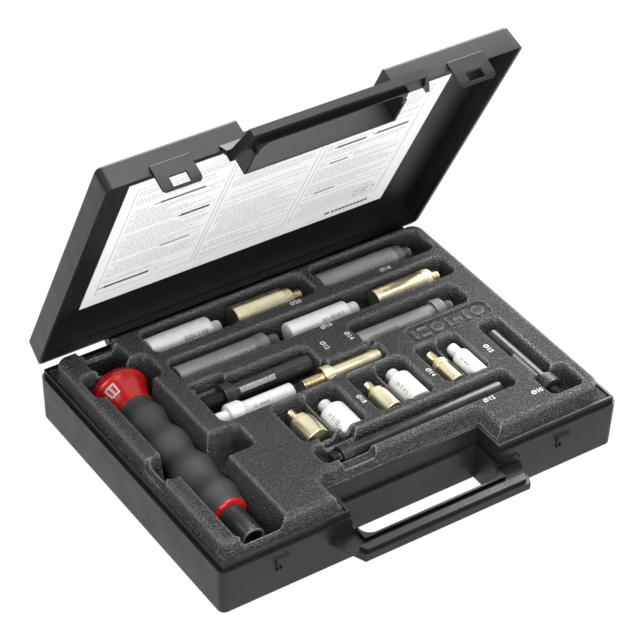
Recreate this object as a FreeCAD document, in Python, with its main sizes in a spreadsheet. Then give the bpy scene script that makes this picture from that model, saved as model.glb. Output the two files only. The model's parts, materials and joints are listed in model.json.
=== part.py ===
"""Carrying case with a handle tool and a set of screw-in drifts.

Row frame, in millimetres: the origin is the centre of the case's bottom face, +X runs to the
right along the front, +Y to the back and +Z up. The case stands open: its lid has swung
lid_open_angle degrees from closed about the hinge axis behind the back wall.
"""

import FreeCAD, Part
import os
import re

import Sketcher

DIMENSIONS = {
    # case shells
    "case_width": 300.0,
    "case_depth": 220.9,
    "base_height": 34.7,
    "lid_height": 16.9,
    "draft_out": 0.78,
    "lid_top_inset": 0.3,
    "corner_radius": 5.0,
    "bottom_radius": 2.0,
    "wall": 3.0,
    "floor_thickness": 2.2,
    "panel_thickness": 2.0,
    "shell_gap": 0.1,
    # how far a cut runs past what it cuts, and how deep a rib is rooted in its wall
    "cut_margin": 5.0,
    "root_overlap": 1.5,
    # tongue that stands on the base's rim and enters the lid
    "tongue_inset": 1.6,
    "tongue_height": 4.5,
    "tongue_gap": 0.3,
    # hand recess in the front wall
    "recess_half_width": 53.5,
    "recess_depth": 21.0,
    "recess_wall": 2.4,
    "recess_step": 2.6,
    "lid_recess_wall": 1.8,
    # carry handle, one half on each shell
    "handle_root_half": 73.0,
    "handle_bar_half": 62.5,
    "handle_reach": 25.0,
    "handle_low": 20.5,
    "handle_joint": 25.7,
    "handle_high": 31.0,
    "handle_skin": 1.4,
    "handle_lap_inset": 2.0,
    "handle_lap_height": 2.8,
    "handle_lap_width": 5.0,
    "handle_web_reach": 7.0,
    "handle_end_skin": 1.5,
    "handle_corner_ease": 0.8,
    "finger_half_width": 52.0,
    "finger_reach": 9.5,
    "finger_wall": 1.6,
    "finger_radius": 8.0,
    # hinge
    "hinge_behind": 5.4,
    "hinge_above_rim": 1.0,
    "knuckle_radius": 4.0,
    "knuckle_inner": 48.0,
    "knuckle_outer": 84.0,
    "knuckle_width": 10.0,
    "knuckle_gap": 0.4,
    "barrel_left": 97.0,
    "barrel_right": 140.0,
    "arm_low": 9.0,
    "arm_high": 1.4,
    "pin_radius": 1.5,
    "pin_clearance": 0.05,
    "lid_open_angle": 63.27,
    # latches and the catches that they hook over
    "latch_centre": 106.7,
    "latch_width": 27.4,
    "latch_length": 19.4,
    "latch_thickness": 1.8,
    "latch_top": 40.1,
    "latch_standoff": 0.4,
    "latch_band": 4.0,
    "latch_bevel": 0.9,
    "latch_corner": 1.8,
    "latch_hole_width": 12.0,
    "latch_hole_height": 6.5,
    "latch_hole_drop": 14.0,
    "catch_width": 10.5,
    "catch_height": 4.2,
    "catch_depth": 1.7,
    "catch_top": 28.3,
    "catch_high_bevel": 1.2,
    "catch_low_bevel": 0.6,
    # tray
    "tray_top": 48.7,
    "tray_half_width": 143.7,
    "tray_front": -101.9,
    "tray_back": 104.7,
    "tray_skirt_half_width": 146.6,
    "tray_skirt_front": -107.0,
    "tray_skirt_back": 107.0,
    "tray_skirt_top": 37.5,
    "tray_wall": 1.6,
    "tray_lip": 39.0,
    "cup_lap": 0.2,
    "front_lip_edge": -100.5,
    "back_lip_edge": 98.0,
    "side_lip_edge": -141.0,
    "hand_cut_half": 62.0,
    "hand_cut_back": -79.0,
    "hand_skirt_half": 59.0,
    "hand_skirt_back": -84.0,
    # instruction card in the lid
    "card_half_width": 118.5,
    "card_front": -73.5,
    "card_back": 82.5,
    "card_thickness": 0.3,
    # handle tool, measured along its axis from the socket's mouth
    "tool_x": -113.7,
    "tool_mouth_y": -88.85,
    "tool_height": 27.9,
    "socket_radius": 8.6,
    "socket_length": 25.8,
    "socket_bore_radius": 4.25,
    "socket_bore_depth": 16.0,
    "core_radius": 5.0,
    "core_end": 158.0,
    "ring_radius": 12.0,
    "ring_width": 1.8,
    "ring_bevel": 0.5,
    "grip_radius": 13.6,
    "grip_shoulder": 9.0,
    "grip_waist": 1.2,
    "grip_swell": 0.4,
    "grip_end": 140.4,
    "cap_neck_radius": 14.2,
    "cap_radius": 20.7,
    "cap_waist": 149.4,
    "cap_waist_radius": 15.2,
    "cap_wide_start": 157.5,
    "cap_wide_end": 162.5,
    "cap_bevel": 0.6,
    "cap_shoulder": 165.8,
    "cap_shoulder_radius": 18.7,
    "cap_face": 167.6,
    "cap_face_radius": 12.5,
    "cap_dome": 169.4,
    "cap_dome_radius": 7.0,
    "cap_end": 170.4,
    # turned drifts
    "edge_chamfer": 1.0,
    "neck_chamfer": 0.8,
    "collar_chamfer": 0.5,
    "thread_chamfer": 1.2,
}

# Each drift: (body diameter, body length, collar diameter, collar length, thread diameter,
# thread length, x and y of the body's plain end, height of the axis, turn about Z in degrees).
# A nylon drift has a plain stub in place of a thread, and most have no collar.
DRIFTS = {
    "nylon_drift_20_long": (20.0, 47.0, 0, 0, 10.0, 8.1, -83.0, 87.3, 38.7, 0),
    "brass_drift_20_long": (20.0, 38.7, 17.0, 6.0, 10.0, 8.4, -17.4, 87.3, 38.7, 0),
    "steel_drift_18_long": (18.0, 61.2, 17.0, 6.0, 10.0, 7.5, 50.1, 86.4, 39.7, 0),
    "steel_drift_16_long": (16.0, 61.2, 17.0, 6.3, 10.0, 9.0, -81.3, 53.8, 40.2, 0),
    "nylon_drift_16_long": (16.0, 46.8, 0, 0, 10.0, 8.4, 3.9, 53.8, 40.7, 0),
    "brass_drift_16_long": (16.0, 38.7, 17.0, 6.3, 10.0, 7.2, 73.2, 53.8, 40.2, 0),
    "steel_drift_12_long": (12.0, 59.4, 17.0, 7.2, 10.0, 15.3, 0.0, 22.7, 40.2, 180),
    "nylon_drift_12_long": (12.0, 38.0, 16.5, 10.8, 10.0, 8.9, -25.3, 3.9, 40.4, 180),
    "brass_drift_12_long": (12.0, 37.5, 16.4, 6.9, 10.0, 14.8, 42.3, 3.6, 40.2, 180),
    "steel_drift_14_long": (14.0, 60.3, 17.6, 6.9, 10.0, 8.1, 39.0, 22.9, 39.6, 0),
    "brass_drift_18_short": (18.0, 18.0, 15.0, 4.2, 6.0, 10.6, -37.5, -45.4, 39.6, 90),
    "nylon_drift_20_short": (19.6, 23.9, 0, 0, 9.0, 10.4, -14.4, -49.9, 38.7, 90),
    "brass_drift_14_short": (14.0, 17.6, 12.0, 4.0, 6.0, 9.9, 18.3, -48.8, 41.6, 90),
    "nylon_drift_18_short": (17.6, 25.2, 0, 0, 9.0, 9.0, 39.2, -48.4, 39.8, 90),
    "brass_drift_10_short": (10.0, 17.6, 11.6, 4.0, 6.0, 11.0, 69.3, -47.6, 42.8, 90),
    "nylon_drift_12_short": (12.8, 23.6, 0, 0, 8.0, 10.0, 85.9, -50.0, 43.0, 90),
    "steel_drift_12_extended": (12.0, 117.0, 14.4, 7.5, 10.0, 6.0, 90.0, -64.7, 39.4, 180),
    "steel_drift_10_long": (10.0, 56.4, 16.0, 9.0, 8.0, 10.5, 118.5, -18.0, 40.3, -90),
}
DRIFT_FIELDS = (
    "diameter",
    "length",
    "collar_diameter",
    "collar_length",
    "thread_diameter",
    "thread_length",
    "x",
    "y",
    "z",
    "turn",
)

# Each pocket pressed into the tray: (left, right, front, back, floor height).
POCKETS = {
    "row_one_left": (-83.6, 42.0, 75.0, 99.5, 28.4),
    "row_one_right": (49.2, 136.8, 73.2, 99.5, 30.4),
    "row_two": (-83.4, 134.1, 43.5, 64.2, 31.4),
    "row_three_left": (-83.6, 2.1, -6.4, 31.8, 31.4),
    "row_three_thumb": (-83.6, -58.5, 31.0, 35.7, 31.4),
    "row_three_collar": (1.5, 5.6, -6.4, 12.6, 31.4),
    "row_three_channel": (5.0, 43.5, -6.4, 10.2, 31.7),
    "row_three_link": (37.0, 43.5, 9.6, 14.0, 31.7),
    "row_three_right": (37.0, 123.3, 13.4, 34.8, 30.5),
    "label_plaque": (64.8, 128.7, -5.9, 9.4, 47.4),
    "short_a_left": (-51.3, -26.0, -50.4, -9.6, 30.3),
    "short_a_right": (-26.5, -3.6, -50.4, -9.6, 28.6),
    "short_b_left": (6.6, 28.5, -50.4, -9.1, 34.3),
    "short_b_right": (28.0, 49.2, -50.4, -9.1, 30.7),
    "short_c_left": (59.7, 77.5, -50.4, -9.1, 36.7),
    "short_c_right": (77.0, 93.0, -50.4, -9.1, 36.3),
    "extended_channel": (-51.3, 98.1, -73.6, -56.4, 31.9),
    "extended_link": (-42.0, -16.5, -57.0, -50.0, 31.9),
    "right_pocket": (110.0, 127.0, -72.0, -10.8, 32.0),
    "right_foot": (109.2, 135.0, -95.4, -71.5, 32.0),
    "tool_bay": (-132.7, -97.8, -101.5, 63.0, 12.2),
    "tool_cap_bay": (-138.9, -90.0, 55.0, 79.6, 6.8),
    "tool_neck": (-127.5, -100.5, 79.0, 98.5, 12.2),
    "finger_dip": (-42.0, -16.5, -80.0, -73.0, 42.0),
    "finger_gap": (-141.5, -77.4, -34.8, -10.6, 20.0),
}
POCKET_FIELDS = ("left", "right", "front", "back", "floor")

for drift, sizes in DRIFTS.items():
    DIMENSIONS.update({f"{drift}_{field}": size for field, size in zip(DRIFT_FIELDS, sizes)})
for pocket, sizes in POCKETS.items():
    DIMENSIONS.update({f"{pocket}_{field}": size for field, size in zip(POCKET_FIELDS, sizes)})

doc = FreeCAD.newDocument("DriftSet")
sheet = doc.addObject("Spreadsheet::Sheet", "Dims")
for row, (alias, size) in enumerate(DIMENSIONS.items(), start=1):
    sheet.set(f"A{row}", alias)
    sheet.set(f"B{row}", str(float(size)))
    sheet.setAlias(f"B{row}", alias)
doc.recompute()


# ---------------------------------------------------------------- expressions and sketches

SHORTEST = 2.0  # an upright edge is longer than this
LEAN = 3.0  # and leans sideways by less than this
NEAR = 0.01
LEAST_CUT = 0.5  # a cut that takes less than this, in cubic millimetres, cuts nothing


def cells(text):
    """The expression with each dimension's name pointing at its cell."""
    return re.sub(
        r"[a-z][a-z0-9_]*",
        lambda found: "Dims." + found.group(0) if found.group(0) in DIMENSIONS else found.group(0),
        str(text),
    )


def number(text):
    """The expression's value, in millimetres or degrees."""
    value = sheet.evalExpression(cells(text))
    return float(getattr(value, "Value", value))


def bind(target, **expressions):
    """Bind properties of an object, such as Length="case_width / 2"."""
    for name, text in expressions.items():
        target.setExpression(name.replace("__", "."), cells(text))


def place(target, x="0", y="0", z="0"):
    """Bind an object's position."""
    for axis, text in (("x", x), ("y", y), ("z", z)):
        target.setExpression(f"Placement.Base.{axis}", cells(text))


def new_body(label):
    body = doc.addObject("PartDesign::Body", label)
    body.Label = label
    return body


def new_sketch(body, role, offset="0"):
    """An empty sketch on one of the body's origin planes, moved along its normal."""
    sketch = body.newObject("Sketcher::SketchObject", f"{body.Label}_sketch")
    plane = next(item for item in body.Origin.OriginFeatures if item.Role == role)
    sketch.AttachmentSupport = [(plane, "")]
    sketch.MapMode = "FlatFace"
    bind(sketch, AttachmentOffset__Base__z=offset)
    return sketch


def polygon(sketch, corners):
    """A closed outline whose corners are pairs of expressions."""
    places = [FreeCAD.Vector(number(x), number(y), 0) for x, y in corners]
    first = sketch.GeometryCount
    count = len(places)
    for i in range(count):
        sketch.addGeometry(Part.LineSegment(places[i], places[(i + 1) % count]))
    for i in range(count):
        line, following = first + i, first + (i + 1) % count
        sketch.addConstraint(Sketcher.Constraint("Coincident", line, 2, following, 1))
    for i, (x, y) in enumerate(corners):
        for kind, text in (("DistanceX", x), ("DistanceY", y)):
            value = number(text)
            rule = sketch.addConstraint(Sketcher.Constraint(kind, -1, 1, first + i, 1, value))
            sketch.setExpression(f"Constraints[{rule}]", cells(text))


def rectangle(sketch, left, right, front, back):
    polygon(sketch, [(left, front), (right, front), (right, back), (left, back)])


def circle(sketch, x, y, radius):
    centre = FreeCAD.Vector(number(x), number(y), 0)
    shape = Part.Circle(centre, FreeCAD.Vector(0, 0, 1), number(radius))
    index = sketch.addGeometry(shape)
    for kind, text in (("DistanceX", x), ("DistanceY", y)):
        value = number(text)
        rule = sketch.addConstraint(Sketcher.Constraint(kind, -1, 1, index, 3, value))
        sketch.setExpression(f"Constraints[{rule}]", cells(text))
    rule = sketch.addConstraint(Sketcher.Constraint("Radius", index, number(radius)))
    sketch.setExpression(f"Constraints[{rule}]", cells(radius))


def pad(body, sketch, length, taper=None):
    """Add material along the sketch's normal."""
    feature = body.newObject("PartDesign::Pad", f"{body.Label}_pad")
    feature.Profile = sketch
    bind(feature, Length=length)
    if taper:
        bind(feature, TaperAngle=taper)
    doc.recompute()
    return feature


def pocket(body, sketch, length):
    """Cut material against the sketch's normal, and make sure that something is cut."""
    before = body.Shape.Volume
    feature = body.newObject("PartDesign::Pocket", f"{body.Label}_pocket")
    feature.Profile = sketch
    bind(feature, Length=length)
    doc.recompute()
    if body.Shape.Volume > before - LEAST_CUT:
        raise RuntimeError(f"{feature.Name} cuts nothing")
    return feature


def fillet(body, feature, radius, wanted):
    """Round the feature's edges that the test picks."""
    names = [f"Edge{i}" for i, edge in enumerate(feature.Shape.Edges, start=1) if wanted(edge)]
    rounded = body.newObject("PartDesign::Fillet", f"{body.Label}_fillet")
    rounded.Base = (feature, names)
    bind(rounded, Radius=radius)
    doc.recompute()
    return rounded


def upright(edge):
    """True for an edge that runs mostly along Z, whatever its draft."""
    box = edge.BoundBox
    return box.ZLength > SHORTEST and max(box.XLength, box.YLength) < LEAN


def at_height(height):
    """A test for edges that lie level at one height."""
    return lambda edge: abs(edge.BoundBox.ZMin - height) < NEAR and edge.BoundBox.ZLength < NEAR


# ---------------------------------------------------------------- case shells

FRONT = "-case_depth / 2"
RECESS_BACK = "-case_depth / 2 + recess_depth"


def drafted_block(body, inset, height):
    """The shell's outside: a rounded block that widens towards the rim."""
    sketch = new_sketch(body, "XY_Plane")
    half_x = f"(case_width / 2 - {inset})"
    half_y = f"(case_depth / 2 - {inset})"
    rectangle(sketch, f"-{half_x}", half_x, f"-{half_y}", half_y)
    taper = f"atan((draft_out + {inset}) / {height})"
    block = pad(body, sketch, height, taper)
    sides = fillet(body, block, "corner_radius", upright)
    return fillet(body, sides, "bottom_radius", at_height(0.0))


def recess_walls(body, low, high, step, thickness="recess_wall"):
    """The wall round three sides of the hand recess, set back by a step."""
    half_in = f"(recess_half_width + {step})"
    half_out = f"({half_in} + {thickness})"
    back_in = f"({RECESS_BACK} + {step})"
    front = f"({FRONT} + root_overlap)"
    sketch = new_sketch(body, "XY_Plane", low)
    polygon(
        sketch,
        [
            (f"-{half_out}", front),
            (f"-{half_in}", front),
            (f"-{half_in}", back_in),
            (half_in, back_in),
            (half_in, front),
            (half_out, front),
            (half_out, f"{back_in} + {thickness}"),
            (f"-{half_out}", f"{back_in} + {thickness}"),
        ],
    )
    pad(body, sketch, f"{high} - {low}")


def handle_outline(sketch, inset):
    """The handle half's plan, a trapezoid in front of the front wall."""
    polygon(
        sketch,
        [
            (f"-(handle_root_half - {inset})", f"{FRONT} + root_overlap"),
            (f"-(handle_root_half - {inset})", FRONT),
            (f"-(handle_bar_half - {inset})", f"{FRONT} - handle_reach + {inset}"),
            (f"handle_bar_half - {inset}", f"{FRONT} - handle_reach + {inset}"),
            (f"handle_root_half - {inset}", FRONT),
            (f"handle_root_half - {inset}", f"{FRONT} + root_overlap"),
        ],
    )


def handle_channel(body, top, depth, inset):
    """The hollow inside a handle half, round three sides of the finger opening."""
    near = f"{FRONT} - handle_end_skin"
    reach = f"{FRONT} - handle_reach + {inset}"
    inner = "(finger_half_width + finger_wall)"
    sketch = new_sketch(body, "XY_Plane", top)
    polygon(
        sketch,
        [
            (f"-(handle_root_half - {inset} - handle_end_skin)", near),
            (f"-(handle_bar_half - {inset} + handle_corner_ease)", reach),
            (f"handle_bar_half - {inset} + handle_corner_ease", reach),
            (f"handle_root_half - {inset} - handle_end_skin", near),
            (inner, near),
            (inner, f"{FRONT} - finger_reach - finger_wall"),
            (f"-{inner}", f"{FRONT} - finger_reach - finger_wall"),
            (f"-{inner}", near),
        ],
    )
    pocket(body, sketch, depth)


def finger_opening(body, top):
    """The opening that the fingers go through, between the bar and the recess."""
    sketch = new_sketch(body, "XY_Plane", top)
    rectangle(
        sketch,
        "-finger_half_width",
        "finger_half_width",
        f"{FRONT} - finger_reach",
        f"{FRONT} + cut_margin",
    )
    cut = pocket(body, sketch, f"{top} + cut_margin")
    near = number(f"{FRONT} - finger_reach")
    fillet(
        body,
        cut,
        "finger_radius",
        lambda edge: upright(edge) and abs(edge.BoundBox.YMin - near) < NEAR,
    )


def knuckles(body, spans, axis_z, hole_radius):
    """Hinge knuckles: a round boss on a short arm, over each span along X, bored for the pin."""
    axis_y = "case_depth / 2 + draft_out + hinge_behind"
    root = "case_depth / 2 - root_overlap"
    arm = [
        (root, f"{axis_z} - arm_low"),
        (axis_y, f"{axis_z} - knuckle_radius"),
        (axis_y, axis_z),
        (root, f"{axis_z} - arm_high"),
    ]
    for start, end in spans:
        for shape in ("arm", "boss"):
            sketch = new_sketch(body, "YZ_Plane", start)
            if shape == "arm":
                polygon(sketch, arm)
            else:
                circle(sketch, axis_y, axis_z, "knuckle_radius")
            pad(body, sketch, f"{end} - ({start})")
    sketch = new_sketch(body, "YZ_Plane", "knuckle_outer + cut_margin")
    circle(sketch, axis_y, axis_z, hole_radius)
    pocket(body, sketch, "2 * (knuckle_outer + cut_margin)")


def case_base():
    """The lower shell, with tongue, hand recess, handle half, catches and hinge knuckles."""
    body = new_body("case_base")
    drafted_block(body, "0", "base_height")

    tongue = new_sketch(body, "XY_Plane", "base_height")
    half_x, half_y = "(case_width / 2 - tongue_inset)", "(case_depth / 2 - tongue_inset)"
    rectangle(tongue, f"-{half_x}", half_x, f"-{half_y}", half_y)
    pad(body, tongue, "tongue_height")

    cavity = new_sketch(body, "XY_Plane", "base_height + tongue_height")
    half_x, half_y = "(case_width / 2 - wall)", "(case_depth / 2 - wall)"
    rectangle(cavity, f"-{half_x}", half_x, f"-{half_y}", half_y)
    pocket(body, cavity, "base_height + tongue_height - floor_thickness")

    recess = new_sketch(body, "XY_Plane", "base_height + tongue_height")
    rectangle(recess, "-recess_half_width", "recess_half_width", f"{FRONT} - cut_margin", RECESS_BACK)
    pocket(body, recess, "base_height + tongue_height + cut_margin")
    wider = new_sketch(body, "XY_Plane", "base_height + tongue_height")
    half = "(recess_half_width + recess_step)"
    rectangle(wider, f"-{half}", half, f"{FRONT} - cut_margin", f"{RECESS_BACK} + recess_step")
    pocket(body, wider, "base_height + tongue_height - handle_joint")
    recess_walls(body, "0", "handle_joint", "0")
    recess_walls(body, "handle_joint", "base_height + tongue_height", "recess_step")

    handle = new_sketch(body, "XY_Plane", "handle_low")
    handle_outline(handle, "0")
    pad(body, handle, "handle_joint - handle_low")
    lap = new_sketch(body, "XY_Plane", "handle_joint")
    handle_outline(lap, "handle_lap_inset")
    pad(body, lap, "handle_lap_height")
    channel_top = "handle_joint + handle_lap_height"
    channel_depth = f"{channel_top} - handle_low - handle_skin"
    handle_channel(body, channel_top, channel_depth, "handle_lap_inset + handle_lap_width")
    inner_lap = new_sketch(body, "XY_Plane", channel_top)
    rectangle(
        inner_lap,
        "-(finger_half_width + finger_wall)",
        "finger_half_width + finger_wall",
        f"{FRONT} - finger_reach - finger_wall",
        f"{FRONT} - handle_end_skin",
    )
    pocket(body, inner_lap, "handle_lap_height + handle_corner_ease")
    # above the joint the lid's recess wall stands in the base's
    lap_ends = new_sketch(body, "XY_Plane", channel_top)
    near = f"{FRONT} - handle_end_skin - tongue_gap"
    rectangle(lap_ends, f"-{half}", half, near, f"{FRONT} + root_overlap")
    pocket(body, lap_ends, "handle_lap_height")
    finger_opening(body, channel_top)

    for side in ("-latch_centre", "latch_centre"):
        catch = new_sketch(body, "YZ_Plane", f"{side} - catch_width / 2")
        polygon(
            catch,
            [
                (f"{FRONT} + root_overlap", "catch_top - catch_height"),
                (f"{FRONT} + root_overlap", "catch_top"),
                (f"{FRONT} - draft_out", "catch_top"),
                (f"{FRONT} - draft_out - catch_depth", "catch_top - catch_high_bevel"),
                (f"{FRONT} - draft_out - catch_depth", "catch_top - catch_height + catch_low_bevel"),
                (f"{FRONT} - draft_out", "catch_top - catch_height"),
            ],
        )
        pad(body, catch, "catch_width")

    spans = [
        ("-barrel_left", "-knuckle_outer + knuckle_width"),
        ("-knuckle_inner - knuckle_width", "knuckle_inner + knuckle_width"),
        ("knuckle_outer - knuckle_width", "barrel_right"),
    ]
    knuckles(body, spans, "(base_height + hinge_above_rim)", "pin_radius")
    return body


def lid_height_of(height):
    """A height in the closed case, measured down from the lid's outer face."""
    return f"(base_height + shell_gap + lid_height - ({height}))"


def lid_placement():
    """The lid is drawn outer face down, turned over onto the base and swung open."""
    top = number("base_height + shell_gap + lid_height")
    turned = FreeCAD.Placement(
        FreeCAD.Vector(0, 0, top), FreeCAD.Rotation(FreeCAD.Vector(0, 1, 0), 180)
    )
    return opened().multiply(turned)


def opened():
    """The swing from closed to open, about the hinge axis."""
    axis = FreeCAD.Vector(
        0, number("case_depth / 2 + draft_out + hinge_behind"), number("base_height + hinge_above_rim")
    )
    swing = FreeCAD.Rotation(FreeCAD.Vector(1, 0, 0), -number("lid_open_angle"))
    return FreeCAD.Placement(FreeCAD.Vector(0, 0, 0), swing, axis)


def case_lid():
    """The upper shell, drawn with its outer face down, then turned over and opened."""
    body = new_body("case_lid")
    drafted_block(body, "lid_top_inset", "lid_height")

    cavity = new_sketch(body, "XY_Plane", "lid_height")
    half_x, half_y = "(case_width / 2 - wall)", "(case_depth / 2 - wall)"
    rectangle(cavity, f"-{half_x}", half_x, f"-{half_y}", half_y)
    pocket(body, cavity, "lid_height - panel_thickness")
    groove = new_sketch(body, "XY_Plane", "lid_height")
    inset = "(tongue_inset - tongue_gap)"
    half_x, half_y = f"(case_width / 2 - {inset})", f"(case_depth / 2 - {inset})"
    rectangle(groove, f"-{half_x}", half_x, f"-{half_y}", half_y)
    pocket(body, groove, "tongue_height + tongue_gap")

    recess = new_sketch(body, "XY_Plane", "lid_height")
    rectangle(recess, "-recess_half_width", "recess_half_width", f"{FRONT} - cut_margin", RECESS_BACK)
    pocket(body, recess, "lid_height + cut_margin")
    mouth = lid_height_of("handle_joint + shell_gap")
    recess_walls(body, "0", mouth, "0", "lid_recess_wall")

    handle = new_sketch(body, "XY_Plane", lid_height_of("handle_high"))
    handle_outline(handle, "0")
    pad(body, handle, "handle_high - handle_joint - shell_gap")
    # a web on each side carries the bar from the front wall, which ends above it
    for start in ("-handle_root_half", "recess_half_width"):
        web = new_sketch(body, "YZ_Plane", start)
        polygon(
            web,
            [
                (f"{FRONT} + root_overlap", lid_height_of("handle_high + handle_web_reach")),
                (f"{FRONT} - handle_end_skin", lid_height_of("handle_high + handle_web_reach")),
                (f"{FRONT} - handle_web_reach", lid_height_of("handle_high")),
                (f"{FRONT} + root_overlap", lid_height_of("handle_high")),
            ],
        )
        pad(body, web, "handle_root_half - recess_half_width")
    depth = "handle_high - handle_joint - shell_gap - handle_skin"
    handle_channel(body, mouth, depth, "handle_lap_inset - tongue_gap")
    # below the lid's rim the handle half stays in front of the base's wall
    for side in ("-", ""):
        clearance = new_sketch(body, "XY_Plane", mouth)
        inner = f"{side}(recess_half_width + lid_recess_wall)"
        outer = f"{side}(handle_root_half + cut_margin)"
        near = f"{FRONT} - handle_end_skin - tongue_gap"
        low, high = (outer, inner) if side else (inner, outer)
        rectangle(clearance, low, high, near, f"{FRONT} + cut_margin")
        pocket(body, clearance, "base_height - handle_joint")
    finger_opening(body, mouth)

    inner = "(knuckle_inner + knuckle_width + knuckle_gap)"
    outer = "(knuckle_outer - knuckle_width - knuckle_gap)"
    knuckles(
        body,
        [(f"-{outer}", f"-{inner}"), (inner, outer)],
        lid_height_of("base_height + hinge_above_rim"),
        "pin_radius + pin_clearance",
    )
    body.Placement = lid_placement()
    return body


def hinge_pin(label, side):
    """A steel pin through three knuckles."""
    pin = doc.addObject("Part::Cylinder", label)
    pin.Label = label
    bind(pin, Radius="pin_radius", Height="knuckle_outer - knuckle_inner")
    start = "knuckle_inner" if side > 0 else "-knuckle_outer"
    pin.Placement = FreeCAD.Placement(
        FreeCAD.Vector(
            number(start),
            number("case_depth / 2 + draft_out + hinge_behind"),
            number("base_height + hinge_above_rim"),
        ),
        FreeCAD.Rotation(FreeCAD.Vector(0, 1, 0), 90),
    )
    return pin


def latch(label, side):
    """A flap hung from the lid's front wall, with a window that hooks over the catch."""
    body = new_body(label)
    inner = f"{FRONT} - draft_out - latch_standoff"
    radius = "latch_thickness / 2"
    sketch = new_sketch(body, "YZ_Plane", "-latch_width / 2")
    polygon(
        sketch,
        [
            (inner, f"latch_top - {radius}"),
            (f"{inner} - latch_thickness", f"latch_top - {radius}"),
            (f"{inner} - latch_thickness", "latch_top - latch_length + latch_band"),
            (f"{inner} - latch_thickness + latch_bevel", "latch_top - latch_length"),
            (inner, "latch_top - latch_length"),
        ],
    )
    pad(body, sketch, "latch_width")
    rounded_top = new_sketch(body, "YZ_Plane", "-latch_width / 2")
    circle(rounded_top, f"{inner} - {radius}", f"latch_top - {radius}", radius)
    pad(body, rounded_top, "latch_width")
    low = "latch_top - latch_length"
    for side_sign in ("-", ""):
        edge = f"{side_sign}(latch_width / 2)"
        inside = f"{side_sign}(latch_width / 2 - latch_corner)"
        corner = new_sketch(body, "XZ_Plane", "case_depth / 2 + 2 * cut_margin")
        polygon(corner, [(inside, low), (edge, low), (edge, f"{low} + latch_corner")])
        pocket(body, corner, "4 * cut_margin")
    window = new_sketch(body, "XZ_Plane", "case_depth / 2 + 2 * cut_margin")
    rectangle(
        window,
        "-latch_hole_width / 2",
        "latch_hole_width / 2",
        "latch_top - latch_hole_drop - latch_hole_height / 2",
        "latch_top - latch_hole_drop + latch_hole_height / 2",
    )
    pocket(body, window, "4 * cut_margin")
    moved = FreeCAD.Placement(
        FreeCAD.Vector(side * number("latch_centre"), 0, 0), FreeCAD.Rotation()
    )
    body.Placement = opened().multiply(moved)
    return body


def instruction_card():
    """A printed card against the lid's inner face."""
    body = new_body("instruction_card")
    sketch = new_sketch(body, "XY_Plane", "panel_thickness")
    rectangle(sketch, "-card_half_width", "card_half_width", "card_front", "card_back")
    pad(body, sketch, "card_thickness")
    body.Placement = lid_placement()
    return body


# ---------------------------------------------------------------- tray


def box(name, left, right, front, back, low, high):
    """A box between six planes, each an expression."""
    block = doc.addObject("Part::Box", name)
    bind(
        block,
        Length=f"({right}) - ({left})",
        Width=f"({back}) - ({front})",
        Height=f"({high}) - ({low})",
    )
    place(block, left, front, low)
    return block


def joined(name, shapes):
    fuse = doc.addObject("Part::MultiFuse", name)
    fuse.Shapes = shapes
    fuse.Refine = True
    return fuse


def less(name, base, tool):
    cut = doc.addObject("Part::Cut", name)
    cut.Base = base
    cut.Tool = tool
    cut.Refine = True
    return cut


def tray_blank(name, inset, top, bottom):
    """The tray's crown on its wider skirt, drawn in by an inset."""
    skirt_x = f"tray_skirt_half_width - {inset}"
    crown_x = f"tray_half_width - {inset}"
    skirt = box(
        f"{name}_skirt",
        f"-({skirt_x})",
        skirt_x,
        f"tray_skirt_front + {inset}",
        f"tray_skirt_back - {inset}",
        bottom,
        f"tray_skirt_top - {inset}",
    )
    crown = box(
        f"{name}_crown",
        f"-({crown_x})",
        crown_x,
        f"tray_front + {inset}",
        f"tray_back - {inset}",
        bottom,
        top,
    )
    return joined(name, [skirt, crown])


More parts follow.
